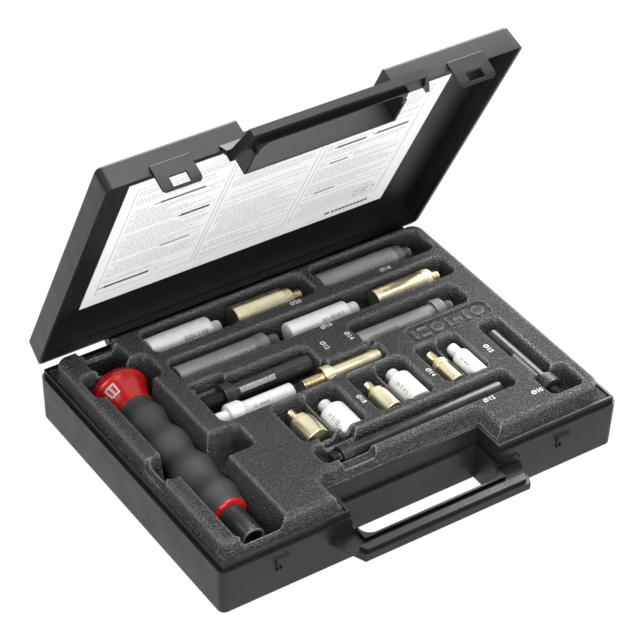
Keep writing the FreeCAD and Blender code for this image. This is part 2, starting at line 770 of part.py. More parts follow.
def tray_insert():
    """The moulded tray: a thin shell with a cup pressed down for each stored piece."""
    outside = tray_blank("tray_outside", "0", "tray_top", "floor_thickness")
    inside = tray_blank("tray_inside", "tray_wall", "tray_top - tray_wall", "floor_thickness - cut_margin")
    shell = less("tray_shell", outside, inside)

    cups, cuts = [], []
    for name in POCKETS:
        left, right = f"{name}_left", f"{name}_right"
        front, back, floor = f"{name}_front", f"{name}_back", f"{name}_floor"
        cups.append(
            box(
                f"{name}_cup",
                f"{left} - tray_wall",
                f"{right} + tray_wall",
                f"{front} - tray_wall",
                f"{back} + tray_wall",
                f"{floor} - tray_wall",
                "tray_top - cup_lap",
            )
        )
        cuts.append(box(f"{name}_cut", left, right, front, back, floor, "tray_top + cut_margin"))

    # walls of the hand clearance at the front
    cups.append(
        box(
            "hand_wall",
            "-hand_cut_half - tray_wall",
            "hand_cut_half + tray_wall",
            "tray_front",
            "hand_cut_back + tray_wall",
            "tray_lip - tray_wall",
            "tray_top - cup_lap",
        )
    )
    cups.append(
        box(
            "hand_skirt",
            "-hand_skirt_half - tray_wall",
            "hand_skirt_half + tray_wall",
            "tray_skirt_front + cup_lap",
            "hand_skirt_back + tray_wall",
            "floor_thickness",
            "tray_lip",
        )
    )
    cuts.append(
        box(
            "hand_cut",
            "-hand_cut_half",
            "hand_cut_half",
            "tray_skirt_front - cut_margin",
            "hand_cut_back",
            "tray_lip",
            "tray_top + cut_margin",
        )
    )
    cuts.append(
        box(
            "hand_skirt_cut",
            "-hand_skirt_half",
            "hand_skirt_half",
            "tray_skirt_front - cut_margin",
            "hand_skirt_back",
            "floor_thickness - cut_margin",
            "tray_top + cut_margin",
        )
    )
    # lowered lips in front of, behind and beside the tool bay, out past the skirt
    past_front, past_back = "tray_skirt_front - cut_margin", "tray_skirt_back + cut_margin"
    past_side = "-tray_skirt_half_width - cut_margin"
    lips = {
        "front_lip": ("tool_bay_left", "tool_bay_right", past_front, "front_lip_edge"),
        "back_lip": ("tool_neck_left", "tool_neck_right", "back_lip_edge", past_back),
        "side_lip": (past_side, "side_lip_edge", "finger_gap_front", "finger_gap_back"),
    }
    for name, (left, right, front, back) in lips.items():
        cuts.append(box(f"{name}_cut", left, right, front, back, "tray_lip", "tray_top + cut_margin"))
        cups.append(
            box(
                f"{name}_cup",
                f"max({left} - tray_wall; -tray_skirt_half_width)",
                f"{right} + tray_wall",
                f"max({front} - tray_wall; tray_skirt_front)",
                f"min({back} + tray_wall; tray_skirt_back)",
                "tray_lip - tray_wall",
                "tray_lip",
            )
        )

    body = joined("tray_with_cups", [shell, joined("tray_cups", cups)])
    tray = less("tray_insert", body, joined("tray_cuts", cuts))
    tray.Label = "tray_insert"
    return tray


# ---------------------------------------------------------------- turned pieces


def turned(label, outline):
    """A body of revolution about its own X axis, from a closed half section."""
    body = new_body(label)
    sketch = new_sketch(body, "XY_Plane")
    polygon(sketch, outline)
    feature = body.newObject("PartDesign::Revolution", f"{label}_revolution")
    feature.Profile = sketch
    feature.ReferenceAxis = (sketch, ["H_Axis"])
    feature.Angle = 360
    doc.recompute()
    return body


def lay(body, x, y, z, turn):
    """Lay a turned body down at its place, its axis turned about Z."""
    body.Placement = FreeCAD.Placement(
        FreeCAD.Vector(0, 0, 0), FreeCAD.Rotation(FreeCAD.Vector(0, 0, 1), number(turn))
    )
    place(body, x, y, z)
    return body


def drift(label):
    """A drift: chamfered body, then a collar where it has one, then the thread or stub."""
    size = {field: f"{label}_{field}" for field in DRIFT_FIELDS}
    radius = f"{size['diameter']} / 2"
    length = size["length"]
    outline = [
        ("0", "0"),
        ("0", f"{radius} - edge_chamfer"),
        ("edge_chamfer", radius),
        (f"{length} - neck_chamfer", radius),
        (length, f"{radius} - neck_chamfer"),
    ]
    end = length
    if number(size["collar_length"]):
        collar = f"{size['collar_diameter']} / 2"
        end = f"{length} + {size['collar_length']}"
        outline += [
            (length, f"{collar} - collar_chamfer"),
            (f"{length} + collar_chamfer", collar),
            (f"{end} - collar_chamfer", collar),
            (end, f"{collar} - collar_chamfer"),
        ]
    thread = f"{size['thread_diameter']} / 2"
    tip = f"{end} + {size['thread_length']}"
    outline += [
        (end, thread),
        (f"{tip} - thread_chamfer", thread),
        (tip, f"{thread} - thread_chamfer"),
        (tip, "0"),
    ]
    body = turned(label, outline)
    return lay(body, size["x"], size["y"], size["z"], size["turn"])


def tool_piece(label, outline):
    """A piece of the handle tool, on the tool's axis."""
    return lay(turned(label, outline), "tool_x", "tool_mouth_y", "tool_height", "90")


def socket_shaft():
    """The steel shaft: a socket at the front, and a core that runs through the grip."""
    return tool_piece(
        "socket_shaft",
        [
            ("socket_bore_depth", "0"),
            ("socket_bore_depth", "socket_bore_radius"),
            ("0", "socket_bore_radius"),
            ("0", "socket_radius - edge_chamfer"),
            ("edge_chamfer", "socket_radius"),
            ("socket_length", "socket_radius"),
            ("socket_length", "core_radius"),
            ("core_end", "core_radius"),
            ("core_end", "0"),
        ],
    )


def grip_ring():
    """The ring that closes the grip at the socket's end."""
    end = "socket_length + ring_width"
    return tool_piece(
        "grip_ring",
        [
            ("socket_length", "core_radius"),
            ("socket_length", "ring_radius - ring_bevel"),
            ("socket_length + ring_bevel", "ring_radius"),
            (f"{end} - ring_bevel", "ring_radius"),
            (end, "ring_radius - ring_bevel"),
            (end, "core_radius"),
        ],
    )


def grip_sleeve():
    """The soft grip over the core, with its waist."""
    start = "socket_length + ring_width"
    third = f"(grip_end - {start}) / 3"
    return tool_piece(
        "grip_sleeve",
        [
            (start, "core_radius"),
            (start, "ring_radius"),
            (f"{start} + grip_shoulder", "grip_radius"),
            (f"{start} + {third}", "grip_radius - grip_waist"),
            (f"{start} + 2 * {third}", "grip_radius + grip_swell"),
            ("grip_end", "grip_radius - grip_swell"),
            ("grip_end", "core_radius"),
        ],
    )


def striking_cap():
    """The cap that takes the hammer's blow, flared and shallow-domed."""
    return tool_piece(
        "striking_cap",
        [
            ("grip_end", "core_radius"),
            ("grip_end", "cap_neck_radius"),
            ("cap_waist", "cap_waist_radius"),
            ("cap_wide_start", "cap_radius - cap_bevel"),
            ("cap_wide_end", "cap_radius"),
            ("cap_shoulder", "cap_shoulder_radius"),
            ("cap_face", "cap_face_radius"),
            ("cap_dome", "cap_dome_radius"),
            ("cap_end", "0"),
            ("core_end", "0"),
            ("core_end", "core_radius"),
        ],
    )


# ---------------------------------------------------------------- build, check and write


def build():
    """Every sub-part of the set."""
    pieces = [
        case_base(),
        case_lid(),
        hinge_pin("hinge_pin_left", -1),
        hinge_pin("hinge_pin_right", 1),
        latch("latch_left", -1),
        latch("latch_right", 1),
        instruction_card(),
        tray_insert(),
        socket_shaft(),
        grip_ring(),
        grip_sleeve(),
        striking_cap(),
    ]
    return pieces + [drift(label) for label in DRIFTS]


def check(pieces):
    """Stop if any feature failed or any sub-part isn't one sound solid."""
    for item in doc.Objects:
        if "Invalid" in item.State or "Error" in item.State:
            raise RuntimeError(f"{item.Label} failed to build")
    for piece in pieces:
        shape = piece.Shape
        if shape.isNull() or not shape.isValid() or not shape.Solids:
            raise RuntimeError(f"{piece.Label} is not a sound solid")
        if len(shape.Solids) != 1:
            raise RuntimeError(f"{piece.Label} has {len(shape.Solids)} solids")


sub_parts = build()
doc.recompute()
check(sub_parts)
os.makedirs("parts", exist_ok=True)
for sub_part in sub_parts:
    sub_part.Shape.exportStep(f"parts/{sub_part.Label}.step")
    print(sub_part.Label, round(sub_part.Shape.Volume), "mm3")
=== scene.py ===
"""Looks of the drift set: an open carrying case, its moulded tray and the tools in it."""

import json
import math
import random

import bmesh
import bpy
import numpy as np
from mathutils import Matrix, Vector


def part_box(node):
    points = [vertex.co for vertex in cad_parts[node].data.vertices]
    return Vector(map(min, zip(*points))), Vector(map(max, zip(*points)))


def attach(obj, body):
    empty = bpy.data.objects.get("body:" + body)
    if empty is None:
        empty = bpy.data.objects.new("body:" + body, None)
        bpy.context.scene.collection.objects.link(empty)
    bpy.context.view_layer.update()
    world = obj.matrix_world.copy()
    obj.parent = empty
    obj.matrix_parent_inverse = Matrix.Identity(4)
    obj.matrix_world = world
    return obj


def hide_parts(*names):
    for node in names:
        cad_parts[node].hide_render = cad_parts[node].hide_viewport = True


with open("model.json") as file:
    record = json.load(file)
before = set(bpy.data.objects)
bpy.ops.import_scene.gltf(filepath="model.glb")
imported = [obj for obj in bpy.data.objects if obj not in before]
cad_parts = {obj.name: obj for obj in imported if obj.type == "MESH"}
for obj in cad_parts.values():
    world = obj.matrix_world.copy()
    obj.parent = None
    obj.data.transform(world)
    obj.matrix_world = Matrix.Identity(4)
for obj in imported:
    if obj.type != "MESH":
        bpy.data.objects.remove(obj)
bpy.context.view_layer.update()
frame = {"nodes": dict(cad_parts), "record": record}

MM = 0.001
record = frame["record"]
nodes = frame["nodes"]


# ------------------------------------------------------------------ materials


def shader(name, color, rough, metallic=0.0, **sockets):
    """A Principled material; returns it with its node tree's parts."""
    mat = bpy.data.materials.new(name)
    mat.use_nodes = True
    tree = mat.node_tree
    bsdf = tree.nodes["Principled BSDF"]
    bsdf.inputs["Base Color"].default_value = (*color, 1)
    bsdf.inputs["Roughness"].default_value = rough
    bsdf.inputs["Metallic"].default_value = metallic
    for key, value in sockets.items():
        bsdf.inputs[key.replace("_", " ")].default_value = value
    return mat, tree, bsdf


def texture(tree, kind, scale, **settings):
    """A procedural texture in object space, in metres."""
    coords = tree.nodes.new("ShaderNodeTexCoord")
    place = tree.nodes.new("ShaderNodeMapping")
    tree.links.new(coords.outputs["Object"], place.inputs["Vector"])
    tex = tree.nodes.new(kind)
    tree.links.new(place.outputs[0], tex.inputs["Vector"])
    tex.inputs["Scale"].default_value = scale
    for key, value in settings.items():
        if key in tex.inputs:
            tex.inputs[key].default_value = value
        else:
            setattr(tex, key, value)
    return tex


def ramp(tree, source, stops):
    """A colour ramp over a texture's value."""
    node = tree.nodes.new("ShaderNodeValToRGB")
    points = node.color_ramp.elements
    while len(points) < len(stops):
        points.new(0.5)
    for point, (position, color) in zip(points, stops):
        point.position = position
        point.color = (*color, 1)
    tree.links.new(source, node.inputs["Fac"])
    return node.outputs["Color"]


def grey(value):
    return (value, value, value)


def bump(tree, bsdf, height, strength, distance):
    """A bump from a texture's value, with its depth in metres."""
    node = tree.nodes.new("ShaderNodeBump")
    node.inputs["Strength"].default_value = strength
    node.inputs["Distance"].default_value = distance
    tree.links.new(height, node.inputs["Height"])
    tree.links.new(node.outputs["Normal"], bsdf.inputs["Normal"])


def wear_and_painted_light(tree, bsdf, base, worn_and_highlit, low=0.5, high=0.56, painted_hollow_shade=None):
    """Edges lighter, partly rubbed wear and partly a painted highlight, and hollows darker with
    painted shade, both found from the mesh's pointiness.
    """
    geometry = tree.nodes.new("ShaderNodeNewGeometry")
    # The first layer is the lighter edges: partly wear, partly a painted highlight.
    layers = [(worn_and_highlit, [(low, grey(0)), (high, grey(1))])]
    # The second layer is painted shade: hollows darkened where the pointiness is low.
    if painted_hollow_shade:
        layers.append((painted_hollow_shade, [(0.4, grey(1)), (0.49, grey(0))]))
    for color, stops in layers:
        mix = tree.nodes.new("ShaderNodeMix")
        mix.data_type = "RGBA"
        mask = ramp(tree, geometry.outputs["Pointiness"], stops)
        tree.links.new(mask, mix.inputs["Factor"])
        tree.links.new(base, mix.inputs["A"])
        mix.inputs["B"].default_value = (*color, 1)
        base = mix.outputs["Result"]
    tree.links.new(base, bsdf.inputs["Base Color"])


def case_plastic():
    """Fine spark-eroded black polypropylene with a satin sheen."""
    mat, tree, bsdf = shader("case_plastic", (0.011, 0.011, 0.011), 0.42, Specular_IOR_Level=0.36)
    cloud = texture(tree, "ShaderNodeTexNoise", 22, Detail=3.0)
    tone = ramp(tree, cloud.outputs["Fac"], [(0.3, grey(0.006)), (0.7, grey(0.01))])
    tree.links.new(tone, bsdf.inputs["Base Color"])
    rub = texture(tree, "ShaderNodeTexNoise", 60, Detail=4.0)
    gloss = ramp(tree, rub.outputs["Fac"], [(0.3, grey(0.38)), (0.7, grey(0.48))])
    tree.links.new(gloss, bsdf.inputs["Roughness"])
    grain = texture(tree, "ShaderNodeTexNoise", 2600, Detail=2.0)
    bump(tree, bsdf, grain.outputs["Fac"], 0.22, 0.00008)
    return mat


def tray_plastic():
    """Leather-grained grey polyethylene, its edges lighter, partly rubbed wear and partly a painted
    highlight.
    """
    mat, tree, bsdf = shader("tray_plastic", (0.07, 0.07, 0.07), 0.33, Specular_IOR_Level=0.65)
    cells = texture(tree, "ShaderNodeTexVoronoi", 860, feature="F1", Randomness=1.0)
    cloud = texture(tree, "ShaderNodeTexNoise", 900, Detail=3.0)
    add = tree.nodes.new("ShaderNodeMath")
    add.operation = "MULTIPLY_ADD"
    tree.links.new(cloud.outputs["Fac"], add.inputs[0])
    add.inputs[1].default_value = 0.6
    tree.links.new(cells.outputs["Distance"], add.inputs[2])
    broad = texture(tree, "ShaderNodeTexNoise", 700, Detail=2.0)
    tone = ramp(tree, broad.outputs["Fac"], [(0.35, grey(0.032)), (0.65, grey(0.066))])
    # Pale rims: partly rubbed wear, partly a painted highlight along the edges.
    wear_and_painted_light(tree, bsdf, tone, grey(0.26), 0.506, 0.555)
    bump(tree, bsdf, add.outputs[0], 1.0, 0.0019)
    return mat


def oxide_steel(name, low, high, rough, metallic):
    """Turned steel with an oxide finish."""
    mat, tree, bsdf = shader(name, grey(low), rough, metallic)
    cloud = texture(tree, "ShaderNodeTexNoise", 90, Detail=5.0)
    tone = ramp(tree, cloud.outputs["Fac"], [(0.3, grey(low)), (0.7, grey(high))])
    # Lighter edges, partly wear and partly a painted highlight; painted shade darkens the hollows.
    wear_and_painted_light(tree, bsdf, tone, grey(3 * high), 0.51, 0.6, painted_hollow_shade=grey(0.3 * low))
    gloss = ramp(tree, cloud.outputs["Fac"], [(0.3, grey(rough - 0.05)), (0.7, grey(rough + 0.07))])
    tree.links.new(gloss, bsdf.inputs["Roughness"])
    fine = texture(tree, "ShaderNodeTexNoise", 3000, Detail=2.0)
    bump(tree, bsdf, fine.outputs["Fac"], 0.15, 0.00005)
    return mat


def etched_steel():
    """The lighter ground of a mark etched through the oxide."""
    mat, tree, bsdf = shader("etched_steel", (0.2, 0.2, 0.2), 0.5, 0.7)
    cloud = texture(tree, "ShaderNodeTexNoise", 900, Detail=3.0)
    tone = ramp(tree, cloud.outputs["Fac"], [(0.35, grey(0.2)), (0.65, grey(0.42))])
    tree.links.new(tone, bsdf.inputs["Base Color"])
    return mat


def brass():
    """Bright turned brass."""
    mat, tree, bsdf = shader("brass", (0.83, 0.66, 0.33), 0.25, 1.0)
    cloud = texture(tree, "ShaderNodeTexNoise", 120, Detail=4.0)
    tone = ramp(
        tree, cloud.outputs["Fac"], [(0.25, (0.9, 0.78, 0.46)), (0.75, (0.97, 0.89, 0.63))]
    )
    # Near-white edges, partly wear and partly a painted highlight; olive painted shade in the
    # hollows.
    wear_and_painted_light(tree, bsdf, tone, (0.98, 0.92, 0.72), 0.52, 0.6, painted_hollow_shade=(0.3, 0.2, 0.07))
    gloss = ramp(tree, cloud.outputs["Fac"], [(0.3, grey(0.26)), (0.7, grey(0.34))])
    tree.links.new(gloss, bsdf.inputs["Roughness"])
    return mat


def nylon():
    """Milky polyamide that lets some light in."""
    mat, tree, bsdf = shader(
        "nylon",
        (0.84, 0.85, 0.84),
        0.55,
        Subsurface_Weight=0.35,
        Subsurface_Radius=(0.004, 0.004, 0.0035),
        Subsurface_Scale=1.0,
    )
    cloud = texture(tree, "ShaderNodeTexNoise", 160, Detail=4.0)
    tone = ramp(
        tree, cloud.outputs["Fac"], [(0.3, (0.68, 0.69, 0.69)), (0.7, (0.78, 0.79, 0.79))]
    )
    tree.links.new(tone, bsdf.inputs["Base Color"])
    fine = texture(tree, "ShaderNodeTexNoise", 1800, Detail=2.0)
    bump(tree, bsdf, fine.outputs["Fac"], 0.12, 0.00005)
    return mat


def nylon_mark():
    """Grey print on the nylon."""
    mat, tree, bsdf = shader("nylon_mark", (0.25, 0.26, 0.26), 0.6)
    cloud = texture(tree, "ShaderNodeTexNoise", 1500, Detail=3.0)
    tone = ramp(tree, cloud.outputs["Fac"], [(0.35, grey(0.22)), (0.65, grey(0.5))])
    tree.links.new(tone, bsdf.inputs["Base Color"])
    return mat


def red_plastic():
    """Glossy red polyamide, slightly scuffed."""
    mat, tree, bsdf = shader("red_plastic", (0.62, 0.012, 0.014), 0.2, Coat_Weight=0.2)
    cloud = texture(tree, "ShaderNodeTexNoise", 70, Detail=4.0)
    tone = ramp(
        tree, cloud.outputs["Fac"], [(0.3, (0.42, 0.006, 0.008)), (0.7, (0.54, 0.011, 0.013))]
    )
    tree.links.new(tone, bsdf.inputs["Base Color"])
    scuff = texture(tree, "ShaderNodeTexNoise", 400, Detail=5.0)
    gloss = ramp(tree, scuff.outputs["Fac"], [(0.35, grey(0.17)), (0.7, grey(0.32))])
    tree.links.new(gloss, bsdf.inputs["Roughness"])
    bump(tree, bsdf, scuff.outputs["Fac"], 0.06, 0.0001)
    return mat


def grip_rubber():
    """Soft matt elastomer with a fine tooth."""
    mat, tree, bsdf = shader("grip_rubber", (0.028, 0.028, 0.03), 0.62)
    cloud = texture(tree, "ShaderNodeTexNoise", 60, Detail=4.0)
    tone = ramp(tree, cloud.outputs["Fac"], [(0.3, grey(0.034)), (0.7, grey(0.05))])
    tree.links.new(tone, bsdf.inputs["Base Color"])
    gloss = ramp(tree, cloud.outputs["Fac"], [(0.3, grey(0.52)), (0.7, grey(0.7))])
    tree.links.new(gloss, bsdf.inputs["Roughness"])
    fine = texture(tree, "ShaderNodeTexNoise", 2200, Detail=3.0)
    bump(tree, bsdf, fine.outputs["Fac"], 0.3, 0.0001)
    return mat


def card_paper():
    """Coated white card."""
    mat, tree, bsdf = shader("card", (0.9, 0.91, 0.92), 0.5)
    cloud = texture(tree, "ShaderNodeTexNoise", 300, Detail=3.0)
    tone = ramp(
        tree, cloud.outputs["Fac"], [(0.3, (0.88, 0.89, 0.9)), (0.7, (0.93, 0.94, 0.95))]
    )
    tree.links.new(tone, bsdf.inputs["Base Color"])
    bump(tree, bsdf, cloud.outputs["Fac"], 0.05, 0.0001)
    return mat


def ink(name, value, spread):
    """A grey or white print, slightly uneven."""
    mat, tree, bsdf = shader(name, grey(value), 0.55)
    cloud = texture(tree, "ShaderNodeTexNoise", 1200, Detail=2.0)
    stops = [(0.3, grey(value)), (0.7, grey(value + spread))]
    tree.links.new(ramp(tree, cloud.outputs["Fac"], stops), bsdf.inputs["Base Color"])
    return mat


def ink_red():
    """The card's red print."""
    mat, tree, bsdf = shader("ink_red", (0.4, 0.02, 0.02), 0.55)
    cloud = texture(tree, "ShaderNodeTexNoise", 1200, Detail=2.0)
    tone = ramp(tree, cloud.outputs["Fac"], [(0.3, (0.3, 0.01, 0.01)), (0.7, (0.45, 0.03, 0.03))])
    tree.links.new(tone, bsdf.inputs["Base Color"])
    return mat


def pin_steel():
    """The hinge pins' bright drawn steel."""
    mat, tree, bsdf = shader("pin_steel", (0.5, 0.5, 0.52), 0.3, 1.0)
    cloud = texture(tree, "ShaderNodeTexNoise", 800, Detail=3.0)
    gloss = ramp(tree, cloud.outputs["Fac"], [(0.3, grey(0.24)), (0.7, grey(0.4))])
    tree.links.new(gloss, bsdf.inputs["Roughness"])
    return mat


MATERIALS = {
    "case_plastic": case_plastic(),
    "tray_plastic": tray_plastic(),
    "black_steel": oxide_steel("black_steel", 0.02, 0.036, 0.3, 0.5),
    "grey_steel": oxide_steel("grey_steel", 0.13, 0.18, 0.44, 0.3),
    "brass": brass(),
    "nylon": nylon(),
    "red_plastic": red_plastic(),
    "grip_rubber": grip_rubber(),
    "card": card_paper(),
    "pin_steel": pin_steel(),
    "etched_steel": etched_steel(),
    "nylon_mark": nylon_mark(),
    "ink_grey": ink("ink_grey", 0.4, 0.12),
    "ink_black": ink("ink_black", 0.05, 0.03),
    "white_paint": ink("white_paint", 0.62, 0.15),
    "ink_red": ink_red(),
}


# ------------------------------------------------------------------ pieces


def new_piece(name, verts, faces, body, materials, smooth=True):
    """A mesh piece in the row frame that rides on a body."""
    mesh = bpy.data.meshes.new(name)
    mesh.from_pydata([tuple(v) for v in verts], [], faces)
    mesh.validate()
    obj = bpy.data.objects.new(name, mesh)
    bpy.context.scene.collection.objects.link(obj)
    for key in materials:
        mesh.materials.append(MATERIALS[key])
    mesh.polygons.foreach_set("use_smooth", [smooth] * len(mesh.polygons))
    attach(obj, body)
    return obj


def box_mesh(boxes):
    """Closed boxes, each (x0, x1, y0, y1, z0, z1), as vertices and faces."""
    verts, faces = [], []
    for x0, x1, y0, y1, z0, z1 in boxes:
        a = len(verts)
        verts += [(x, y, z) for z in (z0, z1) for x, y in ((x0, y0), (x1, y0), (x1, y1), (x0, y1))]
        faces += [(a, a + 3, a + 2, a + 1), (a + 4, a + 5, a + 6, a + 7)]
        faces += [(a + k, a + (k + 1) % 4, a + 4 + (k + 1) % 4, a + 4 + k) for k in range(4)]
    return verts, faces


# Edges of the shells sharper than this, in degrees, are eased.
BEVEL_ANGLE = 32


def bevelled_copy(node, body, slot, width):
    """The CAD node's shape with its edges eased, standing in for the node."""
    mesh = nodes[node].data.copy()
    obj = bpy.data.objects.new(node + "_moulding", mesh)
    bpy.context.scene.collection.objects.link(obj)
    bm = bmesh.new()
    bm.from_mesh(mesh)
    bmesh.ops.remove_doubles(bm, verts=bm.verts, dist=0.00001)
    bmesh.ops.dissolve_limit(
        bm, angle_limit=math.radians(1.0), verts=bm.verts, edges=bm.edges
    )
    bm.to_mesh(mesh)
    bm.free()
    mesh.materials.clear()
    mesh.materials.append(MATERIALS[slot])
    mesh.polygons.foreach_set("use_smooth", [True] * len(mesh.polygons))
    for name in [a.name for a in mesh.attributes if a.name == "custom_normal"]:
        mesh.attributes.remove(mesh.attributes[name])
    bevel = obj.modifiers.new("eased_edges", "BEVEL")
    bevel.width = width
    bevel.segments = 2
    bevel.limit_method = "ANGLE"
    bevel.angle_limit = math.radians(BEVEL_ANGLE)
    bevel.use_clamp_overlap = True
    bevel.harden_normals = True
    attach(obj, body)
    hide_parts(node)
    return obj


def shells():
    """The case's two halves and its latches, from their own CAD shapes."""
    bevelled_copy("case_base", "case", "case_plastic", 0.5 * MM)
    bevelled_copy("case_lid", "lid", "case_plastic", 0.5 * MM)
    bevelled_copy("latch_left", "latch_left", "case_plastic", 0.35 * MM)
    bevelled_copy("latch_right", "latch_right", "case_plastic", 0.35 * MM)


# ------------------------------------------------------------------ tray

# Each pocket: (left, right, front, back, floor), in millimetres.
POCKETS = [
    (-83.6, 42.0, 75.0, 99.5, 28.4),
    (49.2, 136.8, 73.2, 99.5, 30.4),
    (-83.4, 134.1, 43.5, 64.2, 31.4),
    (-83.6, 2.1, -6.4, 31.8, 31.4),
    (-83.6, -58.5, 31.0, 35.7, 31.4),
    (1.5, 5.6, -6.4, 12.6, 31.4),
    (5.0, 43.5, -6.4, 10.2, 31.7),
    (37.0, 43.5, 9.6, 14.0, 31.7),
    (37.0, 123.3, 13.4, 34.8, 30.5),
    (64.8, 128.7, -5.9, 9.4, 47.4),
    (-51.3, -26.0, -50.4, -9.6, 30.3),
    (-26.5, -3.6, -50.4, -9.6, 28.6),
    (6.6, 28.5, -50.4, -9.1, 34.3),
    (28.0, 49.2, -50.4, -9.1, 30.7),
    (59.7, 77.5, -50.4, -9.1, 36.7),
    (77.0, 93.0, -50.4, -9.1, 36.3),
    (-51.3, 98.1, -73.6, -56.4, 31.9),
    (-42.0, -16.5, -57.0, -50.0, 31.9),
    (110.0, 127.0, -72.0, -10.8, 32.0),
    (109.2, 135.0, -95.4, -71.5, 32.0),
    (-132.7, -97.8, -101.5, 63.0, 12.2),
    (-138.9, -90.0, 55.0, 79.6, 6.8),
    (-127.5, -100.5, 79.0, 98.5, 12.2),
    (-42.0, -16.5, -80.0, -73.0, 42.0),
    (-141.5, -77.4, -34.8, -10.6, 20.0),
]
# Heights of the tray's top, of its cut-down lips and of the skirt round its edge.
TRAY_TOP = 48.7
TRAY_LIP = 39.0
SKIRT_TOP = 37.5
# Outlines in plan, (left, right, front, back): the raised part, the skirt, and the hand
# recess in the raised part and in the skirt.
CROWN = (-143.7, 143.7, -101.9, 104.7)
SKIRT = (-146.6, 146.6, -107.0, 107.0)
HAND = (-62.0, 62.0, -120.0, -79.0)
HAND_SKIRT = (-59.0, 59.0, -120.0, -84.0)
# Places where the tray's edge is cut down.
LIPS = [
    (-132.7, -97.8, -120.0, -100.5),
    (-127.5, -100.5, 98.0, 120.0),
    (-160.0, -141.0, -34.8, -10.6),
]
# Corner radii in plan.
POCKET_CORNER = 5.0
LIP_CORNER = 3.0
HAND_CORNER = 8.0
CROWN_CORNER = 9.0
# Raised shapes in the label plaque: (left, right, front, back, corner), and how they rise.
RAISED_FOOT = 47.4
RAISED_RISE = 1.2
RAISED_SLOPE = 0.8
RAISED = [
    (68.6, 71.0, -2.9, 6.4, 0.9),
    (73.6, 80.4, -2.9, -0.6, 0.9),
    (73.6, 80.4, 4.1, 6.4, 0.9),
    (83.2, 92.4, -2.9, 6.4, 4.6),
    (95.6, 98.0, -2.9, 6.4, 0.9),
    (100.6, 107.4, 0.6, 2.9, 0.9),
    (110.0, 112.4, -2.9, 6.4, 0.9),
    (115.4, 124.6, -2.9, 6.4, 4.6),
]


def rounded_box(x, y, box, radius):
    """Signed distance to a rectangle with rounded corners, negative inside."""
    left, right, front, back = box
    dx = np.abs(x - (left + right) / 2) - (right - left) / 2 + radius
    dy = np.abs(y - (front + back) / 2) - (back - front) / 2 + radius
    outside = np.hypot(np.maximum(dx, 0), np.maximum(dy, 0))
    return outside + np.minimum(np.maximum(dx, dy), 0) - radius


def wall_height(distance, top, floor, lip=2.0, foot=2.0, slope=0.1):
    """Height across a pocket's wall, from its signed distance: rounded lip, drafted wall, foot."""
    depth = top - floor
    lip = np.minimum(lip, 0.45 * depth)
    foot = np.minimum(foot, 0.45 * depth)
    inside = -distance
    run = slope * np.maximum(depth - lip - foot, 0.01)
    over = np.clip(inside / lip + 1, 0, 1)
    crown = top - lip * (1 - np.sqrt(np.maximum(1 - over**2, 0)))
    straight = top - lip - (depth - lip - foot) * np.clip(inside / run, 0, 1)
    under = np.clip((inside - run) / foot, 0, 1)
    base = floor + foot * (1 - np.sqrt(np.maximum(1 - (1 - under) ** 2, 0)))
    return np.where(inside <= 0, crown, np.where(inside <= run, straight, base))


def tray_surface(x, y):
    """The tray's top surface over the grid."""
    height = np.full(x.shape, TRAY_TOP)
    for left, right, front, back, floor in POCKETS:
        corner = min(POCKET_CORNER, 0.45 * min(right - left, back - front))
        distance = rounded_box(x, y, (left, right, front, back), corner)
        height = np.minimum(height, wall_height(distance, TRAY_TOP, floor))
    for *box, radius in RAISED:
        inside = np.clip(RAISED_SLOPE - rounded_box(x, y, box, radius), 0, 1)
        raised = np.maximum(height, RAISED_FOOT + RAISED_RISE * inside)
        height = np.where(inside > 0, raised, height)
    for lip in LIPS:
        distance = rounded_box(x, y, lip, LIP_CORNER)
        height = np.minimum(height, wall_height(distance, TRAY_TOP, TRAY_LIP))
    distance = rounded_box(x, y, HAND, HAND_CORNER)
    height = np.minimum(height, wall_height(distance, TRAY_TOP, TRAY_LIP, lip=4.5, slope=0.2))
    crown = -rounded_box(x, y, CROWN, CROWN_CORNER)
    height = np.minimum(height, wall_height(crown, TRAY_TOP, SKIRT_TOP, lip=4.0))
    return height


# Grid lines lie at these places across a wall, at least a fine step and at most a coarse
# one apart.
OFFSETS = (-2.4, -1.8, -1.2, -0.7, -0.3, 0.0, 0.35, 0.8, 1.3, 1.9, 2.6, 3.4)
FINE = 0.22
COARSE = 1.6
SHEET = 1.2


def lines_near(walls, low, high):
    """Grid lines: close together beside each wall, and at most a coarse step elsewhere."""
    wanted = {low, high}
    for wall, way in walls:
        wanted.update(wall + way * o for o in OFFSETS)
    lines = []
    for value in sorted(v for v in wanted if low <= v <= high):
        if not lines or value - lines[-1] > FINE:
            lines.append(value)
    filled = [lines[0]]
    for value in lines[1:]:
        count = max(1, math.ceil((value - filled[-1]) / COARSE))
        start = filled[-1]
        filled += [start + (value - start) * (i + 1) / count for i in range(count)]
    return np.array(filled)


